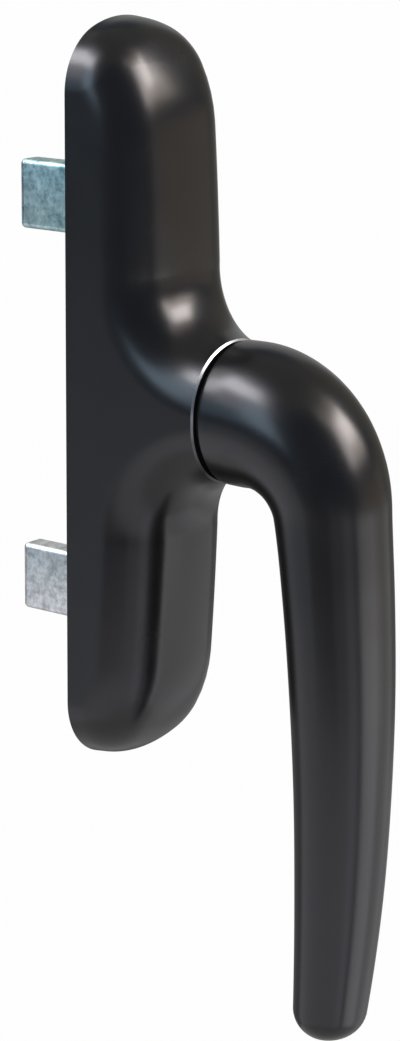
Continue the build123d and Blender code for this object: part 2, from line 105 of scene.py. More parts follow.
# Prongs
PRONG_ROOT = 1.8 * MM          # how far a prong reaches into the housing's back
PRONG_CORNER = 1.1 * MM
PRONG_EDGE = 1.2 * MM
PRONG_STEPS = 6
SHARP = radians(50)            # edges with a greater turn are eased
FACING = 0.9                   # a face looks along an axis when its normal goes this far along it

# Sizes that follow
HALF_LENGTH = PLATE_LENGTH / 2
DRAFT = (PLATE_WIDTH / 2 - NECK_RADIUS) / NECK_HEIGHT
LEAN = sqrt(1 + DRAFT ** 2)
BOW_CENTRE = FRONT_BOW - PLATE_DEPTH
END_TURN = asin((HALF_LENGTH - END_BOW_LENGTH) / FRONT_BOW)
END_CENTRE = ((FRONT_BOW - END_BOW) * cos(END_TURN) - BOW_CENTRE,
              (FRONT_BOW - END_BOW) * sin(END_TURN))

# The blend from the plate's front to the neck has its centre line here, parallel to X
REACH = FRONT_BOW + NECK_BLEND
SPAN = hypot(BOW_CENTRE + NECK_HEIGHT, NECK_RADIUS)
BLEND_START = atan2(NECK_RADIUS, BOW_CENTRE + NECK_HEIGHT) + acos(
    (REACH ** 2 + SPAN ** 2 - NECK_BLEND ** 2) / (2 * REACH * SPAN))
BLEND_Z = REACH * sin(BLEND_START)
BLEND_DEPTH = REACH * cos(BLEND_START) - BOW_CENTRE
BLEND_WIDTH = PLATE_WIDTH / 2 - DRAFT * BLEND_DEPTH


def select_none():
    """Leave nothing selected, in object mode."""
    if bpy.context.mode != "OBJECT":
        bpy.ops.object.mode_set(mode="OBJECT")
    bpy.ops.object.select_all(action="DESELECT")


def take(piece):
    """Make one piece the only selected and the active one."""
    select_none()
    piece.select_set(True)
    bpy.context.view_layer.objects.active = piece


def named(name):
    """Name the primitive that was just added."""
    piece = bpy.context.object
    piece.name = name
    piece.data.name = name
    return piece


def edit(piece):
    """Open a piece in edit mode with nothing selected."""
    take(piece)
    bpy.ops.object.mode_set(mode="EDIT")
    bpy.ops.mesh.select_all(action="DESELECT")


def pick(piece, kind, test):
    """Select the open piece's edges or faces that pass a test."""
    bpy.ops.mesh.select_mode(type={"edges": "EDGE", "faces": "FACE"}[kind])
    mesh = bmesh.from_edit_mesh(piece.data)
    for element in getattr(mesh, kind):
        element.select_set(test(element))
    mesh.select_flush_mode()
    bmesh.update_edit_mesh(piece.data)


def face_outwards():
    """Select the whole open piece and turn its faces outwards."""
    bpy.ops.mesh.select_all(action="SELECT")
    bpy.ops.mesh.normals_make_consistent(inside=False)


def settle(piece, body, material, smooth=30, stands_for=()):
    """Close a piece's edit, tidy its mesh, shade it and hang it on its body."""
    edit(piece)
    bpy.ops.mesh.select_all(action="SELECT")
    bpy.ops.mesh.remove_doubles(threshold=MERGE)
    bpy.ops.mesh.normals_make_consistent(inside=False)
    take(piece)
    bpy.ops.object.transform_apply(location=True, rotation=True, scale=True)
    bpy.ops.object.shade_smooth_by_angle(angle=radians(smooth))
    piece.data.materials.clear()
    piece.data.materials.append(material)
    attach(piece, body)
    if stands_for:
        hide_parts(*stands_for)


def apply_modifier(piece, kind, **settings):
    """Add a modifier to a piece and apply it at once."""
    take(piece)
    modifier = piece.modifiers.new(kind.title(), kind)
    for key, value in settings.items():
        setattr(modifier, key, value)
    bpy.ops.object.modifier_apply(modifier=modifier.name)


# Materials

def new_material(name, roughness, metallic=0.0, ior=1.5):
    """A material with a shader, its Object coordinates and the values that are even all over."""
    material = bpy.data.materials.new(name)
    material.use_nodes = True
    tree = material.node_tree
    shader = tree.nodes["Principled BSDF"]
    shader.inputs["Roughness"].default_value = roughness
    shader.inputs["Metallic"].default_value = metallic
    shader.inputs["IOR"].default_value = ior
    place = tree.nodes.new("ShaderNodeTexCoord")
    return material, tree, shader, place


def noise(tree, place, scale, detail=3.0, stretch=(1, 1, 1), roughness=0.5):
    """Noise over the piece at a scale in cells to the metre."""
    mapping = tree.nodes.new("ShaderNodeMapping")
    mapping.inputs["Scale"].default_value = stretch
    tree.links.new(place.outputs["Object"], mapping.inputs["Vector"])
    texture = tree.nodes.new("ShaderNodeTexNoise")
    texture.inputs["Scale"].default_value = scale
    texture.inputs["Detail"].default_value = detail
    texture.inputs["Roughness"].default_value = roughness
    tree.links.new(mapping.outputs["Vector"], texture.inputs["Vector"])
    return texture.outputs["Fac"]


def axes(tree, place):
    """The X, Y and Z of a place on the piece."""
    split = tree.nodes.new("ShaderNodeSeparateXYZ")
    tree.links.new(place.outputs["Object"], split.inputs["Vector"])
    return split.outputs


def between(tree, amount, low, high, dark, light):
    """Colours from dark to light as the amount goes from low to high."""
    ramp = tree.nodes.new("ShaderNodeValToRGB")
    ramp.color_ramp.elements[0].position = low
    ramp.color_ramp.elements[0].color = (*dark, 1)
    ramp.color_ramp.elements[1].position = high
    ramp.color_ramp.elements[1].color = (*light, 1)
    tree.links.new(amount, ramp.inputs["Fac"])
    return ramp.outputs["Color"]


def numbers(tree, amount, low, high, start=0.0, end=1.0):
    """A number that goes from low to high as the amount goes from start to end."""
    span = tree.nodes.new("ShaderNodeMapRange")
    span.inputs["From Min"].default_value = start
    span.inputs["From Max"].default_value = end
    span.inputs["To Min"].default_value = low
    span.inputs["To Max"].default_value = high
    tree.links.new(amount, span.inputs["Value"])
    return span.outputs["Result"]


def combined(tree, operation, first, second, clamp=False):
    """One number out of two, added, multiplied or the larger of them."""
    node = tree.nodes.new("ShaderNodeMath")
    node.operation = operation
    node.use_clamp = clamp
    tree.links.new(first, node.inputs[0])
    tree.links.new(second, node.inputs[1])
    return node.outputs["Value"]


def bump(tree, shader, height, strength, distance):
    """Raise the surface by a height pattern."""
    node = tree.nodes.new("ShaderNodeBump")
    node.inputs["Strength"].default_value = strength
    node.inputs["Distance"].default_value = distance
    tree.links.new(height, node.inputs["Height"])
    tree.links.new(node.outputs["Normal"], shader.inputs["Normal"])


def black_paint():
    """Satin black stoving paint: slight cloudiness and a fine orange peel."""
    material, tree, shader, place = new_material("satin_black_paint", 0.3, ior=1.55)
    clouds = noise(tree, place, scale=60, detail=4)
    sheen = noise(tree, place, scale=140)
    orange_peel = noise(tree, place, scale=1600, detail=2)
    colour = between(tree, clouds, 0.3, 0.7,
                     dark=(0.0050, 0.0052, 0.0062), light=(0.0076, 0.0074, 0.0074))
    tree.links.new(colour, shader.inputs["Base Color"])
    tree.links.new(numbers(tree, sheen, 0.22, 0.30), shader.inputs["Roughness"])
    bump(tree, shader, orange_peel, strength=0.10, distance=0.02 * MM)
    return material


def zinc_plate():
    """Mottled zinc plating: bluish on the upper prong, bare silver on the lower one and inside."""
    material, tree, shader, place = new_material("zinc_plating", 0.35, metallic=1.0)
    mottle = noise(tree, place, scale=480, detail=6, roughness=0.78)
    patches = noise(tree, place, scale=120)
    wear = noise(tree, place, scale=500, detail=4)
    silver = between(tree, mottle, 0.34, 0.61, dark=(0.40, 0.42, 0.41), light=(0.97, 0.97, 0.93))
    blue = between(tree, mottle, 0.36, 0.62, dark=(0.17, 0.30, 0.31), light=(0.55, 0.78, 0.77))

    # The bluish share grows upwards, in patches, and only behind the housing's back face
    where = axes(tree, place)
    upwards = numbers(tree, where["Z"], 0.0, 0.8, start=-35 * MM, end=35 * MM)
    patchy = combined(tree, "ADD", upwards, numbers(tree, patches, -0.1, 0.3), clamp=True)
    behind = numbers(tree, where["Y"], 0.0, 1.0, end=2 * MM)
    bluish = combined(tree, "MULTIPLY", patchy, behind)
    mix = tree.nodes.new("ShaderNodeMixRGB")
    tree.links.new(bluish, mix.inputs["Fac"])
    tree.links.new(silver, mix.inputs["Color1"])
    tree.links.new(blue, mix.inputs["Color2"])
    tree.links.new(mix.outputs["Color"], shader.inputs["Base Color"])
    tree.links.new(numbers(tree, wear, 0.24, 0.5), shader.inputs["Roughness"])
    bump(tree, shader, mottle, strength=0.35, distance=0.06 * MM)
    return material


def turned_steel(name, tone, roughness):
    """Bright machined steel with fine marks."""
    material, tree, shader, place = new_material(name, roughness, metallic=1.0)
    marks = noise(tree, place, scale=900, stretch=(1, 0.2, 1))
    dark = tuple(0.8 * part for part in tone)
    tree.links.new(between(tree, marks, 0.3, 0.7, dark, tone), shader.inputs["Base Color"])
    dullness = numbers(tree, marks, roughness - 0.06, roughness + 0.08)
    tree.links.new(dullness, shader.inputs["Roughness"])
    bump(tree, shader, marks, strength=0.15, distance=0.03 * MM)
    return material


def bare_rim_with_painted_highlight():
    """Bare metal whose colour carries a painted highlight: bright at the top of the neck's chamfer,
    dark grey lower down.
    """
    material, tree, shader, place = new_material("bare_neck_rim_painted_highlight", 0.3, metallic=1.0)
    marks = noise(tree, place, scale=900)
    # Painted highlight: the base colour goes from dark grey 4 mm below the axis to bright 9 mm
    # above it
    upwards = numbers(tree, axes(tree, place)["Z"], 0.0, 1.0, start=-4 * MM, end=9 * MM)
    colour = between(tree, upwards, 0, 1, dark=(0.10, 0.10, 0.105), light=(0.86, 0.86, 0.88))
    tree.links.new(colour, shader.inputs["Base Color"])
    tree.links.new(numbers(tree, marks, 0.24, 0.38), shader.inputs["Roughness"])
    return material


def cast_zinc():
    """Dull grey die-cast zinc."""
    material, tree, shader, place = new_material("cast_zinc", 0.5, metallic=1.0)
    grain = noise(tree, place, scale=700, detail=5, roughness=0.6)
    colour = between(tree, grain, 0.3, 0.7, dark=(0.36, 0.36, 0.37), light=(0.52, 0.52, 0.53))
    tree.links.new(colour, shader.inputs["Base Color"])
    tree.links.new(numbers(tree, grain, 0.42, 0.6), shader.inputs["Roughness"])
    bump(tree, shader, grain, strength=0.3, distance=0.05 * MM)
    return material


def moulded(name, dark, light, roughness):
    """Moulded plastic with a faint grain."""
    material, tree, shader, place = new_material(name, roughness)
    grain = noise(tree, place, scale=900)
    tree.links.new(between(tree, grain, 0.3, 0.7, dark, light), shader.inputs["Base Color"])
    bump(tree, shader, grain, strength=0.15, distance=0.02 * MM)
    return material


PAINT = black_paint()
ZINC = zinc_plate()
STEEL = turned_steel("bright_steel", tone=(0.60, 0.60, 0.59), roughness=0.28)
RIM_METAL_PAINTED_HIGHLIGHT = bare_rim_with_painted_highlight()
CAST = cast_zinc()
BUSH_PLASTIC = moulded("bush_plastic", (0.66, 0.65, 0.62), (0.74, 0.73, 0.70), roughness=0.45)
SEAL_PLASTIC = moulded("seal_plastic", (0.006, 0.006, 0.007), (0.011, 0.011, 0.012), roughness=0.6)


# Housing

def plate_rim():
    """Points and outward normals round a quarter of the plate's outline, down to the neck."""
    half_width = PLATE_WIDTH / 2
    corner_x = half_width - CORNER
    end_centre = HALF_LENGTH - END_ROUND
    corner_z = end_centre + sqrt((END_ROUND - CORNER) ** 2 - corner_x ** 2)
    turn = atan2(corner_z - end_centre, corner_x)
    places = []
    for k in range(END_STEPS):
        angle = pi / 2 + (turn - pi / 2) * k / END_STEPS
        x, z = cos(angle), sin(angle)
        places.append((END_ROUND * x, end_centre + END_ROUND * z, x, z))
    for k in range(CORNER_STEPS):
        angle = turn * (1 - k / CORNER_STEPS)
        x, z = cos(angle), sin(angle)
        places.append((corner_x + CORNER * x, corner_z + CORNER * z, x, z))
    last = BLEND_Z + ROWS_MARGIN
    for k in range(SIDE_STEPS + 1):
        places.append((half_width, corner_z + (last - corner_z) * k / SIDE_STEPS, 1, 0))
    return places


def bow_at(depth, z):
    """Centre and radius of the front's bow over a place: the long bow, or the end's tight one."""
    if atan2(z - END_CENTRE[1], depth - END_CENTRE[0]) > END_TURN:
        return END_CENTRE, END_BOW
    return (-BOW_CENTRE, 0), FRONT_BOW


def turned_towards(first, last, share):
    """Direction that turns evenly from one to another."""
    angle = acos(max(-1, min(1, first.dot(last))))
    if angle < NEAR:
        return first.copy()
    return (first * sin((1 - share) * angle) + last * sin(share * angle)) / sin(angle)


def plate_row(x, z, out_x, out_z):
    """One row over the plate: up the drafted side, round the shoulder and over to the middle.

    The shoulder is a ball's path: the ball touches the side and the crowned front from inside.
    """
    side = (Vector((out_x, 0, out_z)) + Vector((0, -DRAFT, 0))) / LEAN

    def ball_at(depth):
        inset = DRAFT * depth + SHOULDER * LEAN
        return Vector((x - out_x * inset, -depth, z - out_z * inset))

    low, high = 0.0, PLATE_DEPTH
    for _ in range(HALVINGS):
        depth = (low + high) / 2
        ball = ball_at(depth)
        centre, bow = bow_at(-ball.y, ball.z)
        from_bow = hypot(-ball.y - centre[0], ball.z - centre[1]) - bow
        if hypot(ball.x, from_bow + FRONT_CROWN) > FRONT_CROWN - SHOULDER:
            high = depth
        else:
            low = depth
    outwards = Vector((0, ball.y + centre[0], ball.z - centre[1])).normalized()
    crown_centre = Vector((0, -centre[0], centre[1])) + outwards * (bow - FRONT_CROWN)
    front = (ball - crown_centre).normalized()
    base = Vector((x, 0, z))
    foot = ball + side * SHOULDER
    points = [base.lerp(foot, k / LEG) for k in range(LEG)]
    points += [ball + turned_towards(side, front, k / ARC) * SHOULDER for k in range(ARC + 1)]
    edge = points[-1]
    for k in range(1, TOP + 1):
        across = edge.x * (1 - k / TOP)
        rise = sqrt(FRONT_CROWN ** 2 - across ** 2)
        points.append(crown_centre + outwards * rise + Vector((across, 0, 0)))
    points[-1].x = 0
    return points


def neck_row(angle):
    """One row over the housing in a plane through the blend's centre line.

    In that plane t is the distance from the centre line. The row is made of the side, the shoulder
    and the crown, which runs into the neck's round as the plane turns.
    """
    share = (angle - BLEND_START) / (pi / 2 - BLEND_START)
    shoulder = SHOULDER + share * (BLEND_WIDTH - SIDE_EXCESS - SHOULDER)
    crown = 1 / ((1 - share) / FRONT_CROWN + share / (BLEND_WIDTH + CROWN_EXCESS))
    slope = DRAFT * cos(angle)
    lean = sqrt(1 + slope ** 2)
    top = NECK_BLEND + crown
    reach = BLEND_WIDTH - shoulder * lean

    # The shoulder's round touches the side, and the crown's round from inside
    b = 2 * slope * reach - 2 * top
    c = reach ** 2 + top ** 2 - (crown - shoulder) ** 2
    centre_t = (-b - sqrt(b ** 2 - 4 * lean ** 2 * c)) / (2 * lean ** 2)
    centre_x = reach + slope * centre_t
    away = hypot(centre_x, centre_t - top)
    joint_turn = atan2((centre_t - top) / away, centre_x / away)
    foot = (centre_x + shoulder / lean, centre_t - shoulder * slope / lean)
    foot_turn = atan2(foot[1] - centre_t, foot[0] - centre_x)

    # The row starts at the back face or, nearer the neck, in the middle plane Z = 0
    end_t = min(BLEND_DEPTH / max(cos(angle), TINY), BLEND_Z / max(sin(angle), TINY))
    flat = []
    for k in range(LEG):
        t = end_t + (foot[1] - end_t) * k / LEG
        flat.append((BLEND_WIDTH + slope * t, t))
    for k in range(ARC + 1):
        turn = foot_turn + (joint_turn - foot_turn) * k / ARC
        flat.append((centre_x + shoulder * cos(turn), centre_t + shoulder * sin(turn)))
    for k in range(1, TOP + 1):
        turn = joint_turn + (-pi / 2 - joint_turn) * k / TOP
        flat.append((crown * cos(turn), top + crown * sin(turn)))
    flat[-1] = (0, NECK_BLEND)
    return [Vector((x, t * cos(angle) - BLEND_DEPTH, BLEND_Z - t * sin(angle))) for x, t in flat]


def housing_rows():
    """All the rows of a quarter of the housing's outside."""
    rows = [plate_row(*place) for place in plate_rim()]
    to_corner = atan2(BLEND_Z, BLEND_DEPTH)
    for low, high, count in ((BLEND_START, to_corner, OUTER_NECK_STEPS),
                             (to_corner, LAST_NECK_ROW, INNER_NECK_STEPS)):
        for k in range(count):
            rows.append(neck_row(low + (high - low) * k / count))
    rows.append(neck_row(LAST_NECK_ROW))
    return rows


def is_neck_front(edge):
    """Whether an edge is part of the opening in front of the neck."""
    return edge.is_boundary and edge.verts[0].co.y < -PLATE_DEPTH


def is_on_chamfer(face):
    """Whether a face is part of the chamfer round the neck's front."""
    depths = [-vertex.co.y for vertex in face.verts]
    radii = [hypot(vertex.co.x, vertex.co.z) for vertex in face.verts]
    return (min(depths) > NECK_HEIGHT - NECK_EDGE - NEAR
            and min(radii) > NECK_RADIUS - NECK_EDGE - CLEARLY
            and max(depths) - min(depths) > NECK_EDGE / 2)


def make_housing():
    """The housing: rows over a quarter, mirrored twice, then its rim, recess and bore."""
    rows = housing_rows()
    across, along = len(rows[0]), len(rows)
    select_none()
    bpy.ops.mesh.primitive_grid_add(
        x_subdivisions=across - 1, y_subdivisions=along - 1, size=PLATE_WIDTH)
    housing = named("housing_shell")
    flat = [value for row in rows for point in row for value in point]
    housing.data.vertices.foreach_set("co", flat)
    housing.data.update()
    apply_modifier(housing, "MIRROR", use_axis=(True, False, True), merge_threshold=MERGE)
    edit(housing)
    bpy.ops.mesh.select_all(action="SELECT")
    bpy.ops.mesh.remove_doubles(threshold=MERGE)
    bpy.ops.mesh.bisect(plane_co=(0, NECK_EDGE - NECK_HEIGHT, 0), plane_no=(0, -1, 0),
                        clear_outer=True, threshold=CUT_SLACK)
    face_outwards()

    # Neck rim with its chamfer, and the bore for the bush
    pick(housing, "edges", is_neck_front)
    for radius, depth in ((NECK_RADIUS - NECK_EDGE, NECK_HEIGHT), (BUSH_RADIUS, NECK_HEIGHT),
                          (BUSH_RADIUS, BUSH_DEPTH)):
        mesh = bmesh.from_edit_mesh(housing.data)
        rim = [vertex for vertex in mesh.verts if vertex.select]
        now = max(vertex.co.x for vertex in rim)
        was = -rim[0].co.y
        bpy.ops.mesh.extrude_edges_move(TRANSFORM_OT_translate={"value": (0, was - depth, 0)})
        bpy.ops.transform.resize(
            value=(radius / now, 1, radius / now), center_override=(0, -depth, 0))
    bpy.ops.mesh.edge_face_add()
    line = make_rim_line(housing)

    # The rear rim, the recess for the back plate and the hollow in front of it
    edit(housing)
    pick(housing, "edges", lambda edge: edge.is_boundary)
    bpy.ops.mesh.edge_face_add()
    for inset, deeper in ((RIM_WIDTH, PLATE_RECESS), (HOLLOW_STEP, HOLLOW_DEPTH - PLATE_RECESS)):
        bpy.ops.mesh.inset(thickness=inset, use_even_offset=True)
        bpy.ops.mesh.extrude_region_move(TRANSFORM_OT_translate={"value": (0, -deeper, 0)})
    settle(housing, "base", PAINT, smooth=24, stands_for=("housing",))
    settle(line, "base", RIM_METAL_PAINTED_HIGHLIGHT)


def make_rim_line(housing):
    """The bare metal line round the neck's front: its chamfer, doubled as a piece of its own."""
    edit(housing)
    pick(housing, "faces", is_on_chamfer)
    bpy.ops.mesh.duplicate()
    bpy.ops.mesh.separate(type="SELECTED")
    bpy.ops.object.mode_set(mode="OBJECT")
    line = next(piece for piece in bpy.context.selected_objects if piece is not housing)
    line.name = line.data.name = "neck_rim_line"
    apply_modifier(line, "SOLIDIFY", thickness=RIM_LINE, offset=0)
    return line


# Lever

def half_width(share):
    """The lever's half width at a share of the way along, smooth through its stations."""
    places = [place for place, _ in LEVER_STATIONS]
    widths = [width * MM for _, width in LEVER_STATIONS]
    k = max(i for i in range(len(places) - 1) if places[i] <= share or i == 0)

    def slope(i):
        low, high = max(i - 1, 0), min(i + 1, len(places) - 1)
        return (widths[high] - widths[low]) / (places[high] - places[low])

    step = places[k + 1] - places[k]
    t = (share - places[k]) / step
    return ((2 * t ** 3 - 3 * t ** 2 + 1) * widths[k] + (t ** 3 - 2 * t ** 2 + t) * step * slope(k)
            + (3 * t ** 2 - 2 * t ** 3) * widths[k + 1] + (t ** 3 - t ** 2) * step * slope(k + 1))


def make_lever():
    """The lever: rings pulled out of its journal, over the hub, round the bend and to the tip."""
    bend_length = BEND_RADIUS * BEND_ANGLE
    length = LEVER_STRAIGHT + bend_length + GRIP_LENGTH
    centre = Vector((0, -JOURNAL_DEPTH, 0))
    size = [JOURNAL_RADIUS, JOURNAL_RADIUS]
    select_none()
    bpy.ops.mesh.primitive_circle_add(vertices=LEVER_SIDES, radius=JOURNAL_RADIUS, fill_type="NGON",
                                      location=centre, rotation=(pi / 2, 0, 0))
    lever = named("lever_arm")
    bpy.ops.object.transform_apply(location=True, rotation=True, scale=True)
    edit(lever)
    bpy.ops.mesh.select_all(action="SELECT")

    def resize(wide, deep):
        """Give the last ring its half width and half depth."""
        even = deep / size[1]
        bpy.ops.transform.resize(value=(wide / size[0], even, even), center_override=centre)
        size[:] = (wide, deep)

    def ring_on(distance, wide, deep):
        """Pull out one more ring, straight to the front."""
        nonlocal centre
        bpy.ops.mesh.extrude_region_move()
        bpy.ops.transform.translate(value=(0, -distance, 0))
        centre = centre + Vector((0, -distance, 0))
        resize(wide, deep)

    def ring_round(pivot, turn, wide, deep):
        """Pull out one more ring, turned about a pivot."""
        nonlocal centre
        bpy.ops.mesh.extrude_region_move()
        bpy.ops.transform.rotate(value=-turn, orient_axis="X", center_override=pivot)
        centre = pivot + Matrix.Rotation(turn, 3, "X") @ (centre - pivot)
        resize(wide, deep)

    def sizes_at(place):
        """Half width and half depth at a distance along the lever."""
        share = min(place / length, 1)
        oval = GRIP_FLATNESS * min(share / OVAL_FROM, 1)
        width = half_width(share)
        return width * (1 + oval), width * (1 - oval)

    # The journal, then the hub's flat end with its rounded edge
    flat_end = half_width(0) - HUB_EDGE
    ring_on(HUB_DEPTH - JOURNAL_DEPTH, JOURNAL_RADIUS, JOURNAL_RADIUS)
    ring_on(0, flat_end, flat_end)
    for k in range(1, HUB_EDGE_STEPS + 1):
        last, turn = ((k - 1) * pi / 2 / HUB_EDGE_STEPS, k * pi / 2 / HUB_EDGE_STEPS)
        out = flat_end + HUB_EDGE * sin(turn)
        ring_on(HUB_EDGE * (cos(last) - cos(turn)), out, out)

    # Straight on, round the bend and along the slightly curved grip
    distance = HUB_EDGE
    bend_pivot = Vector((0, -HUB_DEPTH - LEVER_STRAIGHT, -BEND_RADIUS))
    heading = Vector((0, -sin(BEND_ANGLE), cos(BEND_ANGLE)))
    grip_pivot = bend_pivot + heading * BEND_RADIUS - heading * GRIP_CURVE
    for _ in range(STRAIGHT_STEPS):
        step = (LEVER_STRAIGHT - HUB_EDGE) / STRAIGHT_STEPS
        distance += step
        ring_on(step, *sizes_at(distance))
    for _ in range(BEND_STEPS):
        distance += bend_length / BEND_STEPS
        ring_round(bend_pivot, BEND_ANGLE / BEND_STEPS, *sizes_at(distance))
    run = GRIP_LENGTH - TIP_ROUND
    for _ in range(GRIP_STEPS):
        distance += run / GRIP_STEPS
        ring_round(grip_pivot, run / GRIP_STEPS / GRIP_CURVE, *sizes_at(distance))

    # The rounded tip
    wide, deep = sizes_at(distance)
    for k in range(1, TIP_STEPS + 1):
        turn, last = k * pi / 2 / TIP_STEPS, (k - 1) * pi / 2 / TIP_STEPS
        on = TIP_ROUND * (sin(turn) - sin(last))
        less = TIP_ROUND * (1 - cos(turn))
        ring_round(grip_pivot, on / GRIP_CURVE, wide - less, deep - less)
    settle(lever, "lever_set", PAINT, smooth=24, stands_for=("lever",))


# Prongs

def make_prong(side, node, body):
    """A flat prong: a block with rounded corners at its free end and eased edges."""
    low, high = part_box(node)
    root = Vector((low.x, 0, low.z))
    select_none()
    bpy.ops.mesh.primitive_cube_add(size=1, location=(root + high) / 2, scale=high - root)
    prong = named(side + "_flat_prong")
    bpy.ops.object.transform_apply(location=True, rotation=True, scale=True)
    edit(prong)
    face_outwards()
    pick(prong, "faces", lambda face: face.normal.y < -FACING)
    bpy.ops.transform.translate(value=(0, -PRONG_ROOT, 0))

    def is_end_corner(edge):
        first, second = (vertex.co for vertex in edge.verts)
        return min(first.y, second.y) > high.y - NEAR and abs(first.x - second.x) > CLEARLY

    pick(prong, "edges", is_end_corner)
    bpy.ops.mesh.bevel(offset=PRONG_CORNER, segments=PRONG_STEPS, affect="EDGES")
    pick(prong, "edges", lambda edge: edge.calc_face_angle(0) > SHARP)
    bpy.ops.mesh.bevel(offset=PRONG_EDGE, segments=PRONG_STEPS, affect="EDGES")
    settle(prong, body, ZINC, smooth=40, stands_for=(node,))


make_housing()
make_lever()
make_prong("upper", "upper_prong", "upper_drive")
make_prong("lower", "lower_prong", "lower_drive")

CAD_FINISH = (
    (ZINC, ("back_plate", "bearing_plate")),
    (STEEL, ("back_plate_screws", "bearing_plate_screws", "stop_pin", "drive_spindle",
             "lever_screw", "index_disc", "upper_detent_ball", "lower_detent_ball",
             "upper_detent_spring", "lower_detent_spring")),
    (CAST, ("upper_slider", "lower_slider")),
    (BUSH_PLASTIC, ("neck_bush", "thrust_washer")),
    (SEAL_PLASTIC, ("seam_washer",)),
)
for finish, nodes in CAD_FINISH:
    for node in nodes:
        NODES[node].data.materials.clear()
        NODES[node].data.materials.append(finish)


# Camera, at the photograph's viewing angle

PHOTO_WIDTH, PHOTO_HEIGHT = 400, 1041
VIEW_TURN = radians(-52.59)
VIEW_HEIGHT = radians(14.34)
VIEW_ROLL = radians(0.40)
VIEW_DISTANCE = 591.02 * MM
AXIS_PIXEL = (122.53, 392.54)     # where the turning axis meets the back face
PIXELS_PER_METRE = 4800.0
SENSOR = 36.0
NEAREST = 10 * MM


def make_camera():
    """The camera at its place, turned and rolled as in the photograph."""
    away = cos(VIEW_HEIGHT)
    back = Vector((sin(VIEW_TURN) * away, -cos(VIEW_TURN) * away, sin(VIEW_HEIGHT)))
    level = Vector((cos(VIEW_TURN), sin(VIEW_TURN), 0))
    upright = back.cross(level)
    right = level * cos(VIEW_ROLL) + upright * sin(VIEW_ROLL)
    up = upright * cos(VIEW_ROLL) - level * sin(VIEW_ROLL)
    shift_right = (AXIS_PIXEL[0] - PHOTO_WIDTH / 2) / PIXELS_PER_METRE
    shift_down = (AXIS_PIXEL[1] - PHOTO_HEIGHT / 2) / PIXELS_PER_METRE
    select_none()
    bpy.ops.object.camera_add(
        location=back * VIEW_DISTANCE - right * shift_right + up * shift_down)
    camera = bpy.context.object
    camera.rotation_mode = "QUATERNION"
    camera.rotation_quaternion = Matrix((right, up, back)).transposed().to_quaternion()
    camera.data.sensor_width = SENSOR
    camera.data.lens = PIXELS_PER_METRE * VIEW_DISTANCE / PHOTO_HEIGHT * SENSOR
    camera.data.clip_start = NEAREST
    bpy.context.scene.camera = camera


make_camera()


# Studio

BOX_DISTANCE = 1.3
CARD_STEP = 6                     # degrees to one face of a card
FILL_LIGHT = 0.45
FLOOR_SIZE, FLOOR_HEIGHT = 150, -1.6
FLOOR_GLOW = 0.98                 # share of the floor's whiteness that is its own where it shows


def towards(azimuth, elevation, distance):
    """A place round the handle: azimuth 0 is in front, 90 to its left side (-X)."""
    a, e = radians(azimuth), radians(elevation)
    return Vector((-sin(a) * cos(e), -cos(a) * cos(e), sin(e))) * distance


def soft_box(name, azimuth, elevation, wide, high, watts, colour):
    """A soft rectangular lamp that looks at the handle. The cards stand for it in reflections."""
    place = towards(azimuth, elevation, BOX_DISTANCE)
    select_none()
    bpy.ops.object.light_add(
        type="AREA", location=place, rotation=(-place).to_track_quat("-Z", "Y").to_euler())
    lamp = bpy.context.object
    lamp.name = name
    lamp.data.shape = "RECTANGLE"
    lamp.data.size = wide
    lamp.data.size_y = high
    lamp.data.energy = watts
    lamp.data.color = colour
    lamp.visible_glossy = False


def glow_of(tree, colour):
    """An even glow."""
    glow = tree.nodes.new("ShaderNodeEmission")
    glow.inputs["Color"].default_value = (*colour, 1)
    return glow.outputs["Emission"]


def card(name, azimuths, elevations, distance, colour):
    """A studio card or flag, curved round the handle between two azimuths and two elevations.

    It only shows as a reflection in the paint and the metal.
    """
    (left, right), (low, high) = azimuths, elevations
    across = max(2, round((right - left) / CARD_STEP))
    rise = max(2, round((high - low) / CARD_STEP))
    select_none()
    bpy.ops.mesh.primitive_grid_add(x_subdivisions=across, y_subdivisions=rise, size=1)
    piece = named(name)
    for vertex in piece.data.vertices:
        azimuth = left + (right - left) * (vertex.co.x + 0.5)
        elevation = low + (high - low) * (vertex.co.y + 0.5)
        vertex.co = towards(azimuth, elevation, distance)
    material = bpy.data.materials.new(name)
    material.use_nodes = True
    tree = material.node_tree
    tree.nodes.clear()
    out = tree.nodes.new("ShaderNodeOutputMaterial")
    tree.links.new(glow_of(tree, colour), out.inputs["Surface"])
    piece.data.materials.append(material)
    piece.visible_camera = False
    piece.visible_diffuse = False
    piece.visible_shadow = False


def seen_directly(tree):
    """1 for rays that show the background itself: from the camera, or by gloss or glass."""
    rays = tree.nodes.new("ShaderNodeLightPath").outputs
    by_gloss = combined(tree, "MAXIMUM", rays["Is Camera Ray"], rays["Is Glossy Ray"])
    return combined(tree, "MAXIMUM", by_gloss, rays["Is Transmission Ray"])


def mix_of(tree, share, first, second):
    """One surface or background that turns into another by a share."""
    mix = tree.nodes.new("ShaderNodeMixShader")
    tree.links.new(share, mix.inputs["Fac"])
    tree.links.new(first, mix.inputs[1])
    tree.links.new(second, mix.inputs[2])
    return mix.outputs["Shader"]


def make_world():
    """Even pale light all round, with a white background."""
    world = bpy.data.worlds.new("studio")
    bpy.context.scene.world = world
    world.use_nodes = True
    tree = world.node_tree
    tree.nodes.clear()

    def background(colour, strength):
        node = tree.nodes.new("ShaderNodeBackground")
        node.inputs["Color"].default_value = (*colour, 1)
        node.inputs["Strength"].default_value = strength
        return node.outputs["Background"]

    fill = background((0.97, 0.98, 1.0), FILL_LIGHT)
    white = background((1, 1, 1), 1.0)
    out = tree.nodes.new("ShaderNodeOutputWorld")
    tree.links.new(mix_of(tree, seen_directly(tree), fill, white), out.inputs["Surface"])


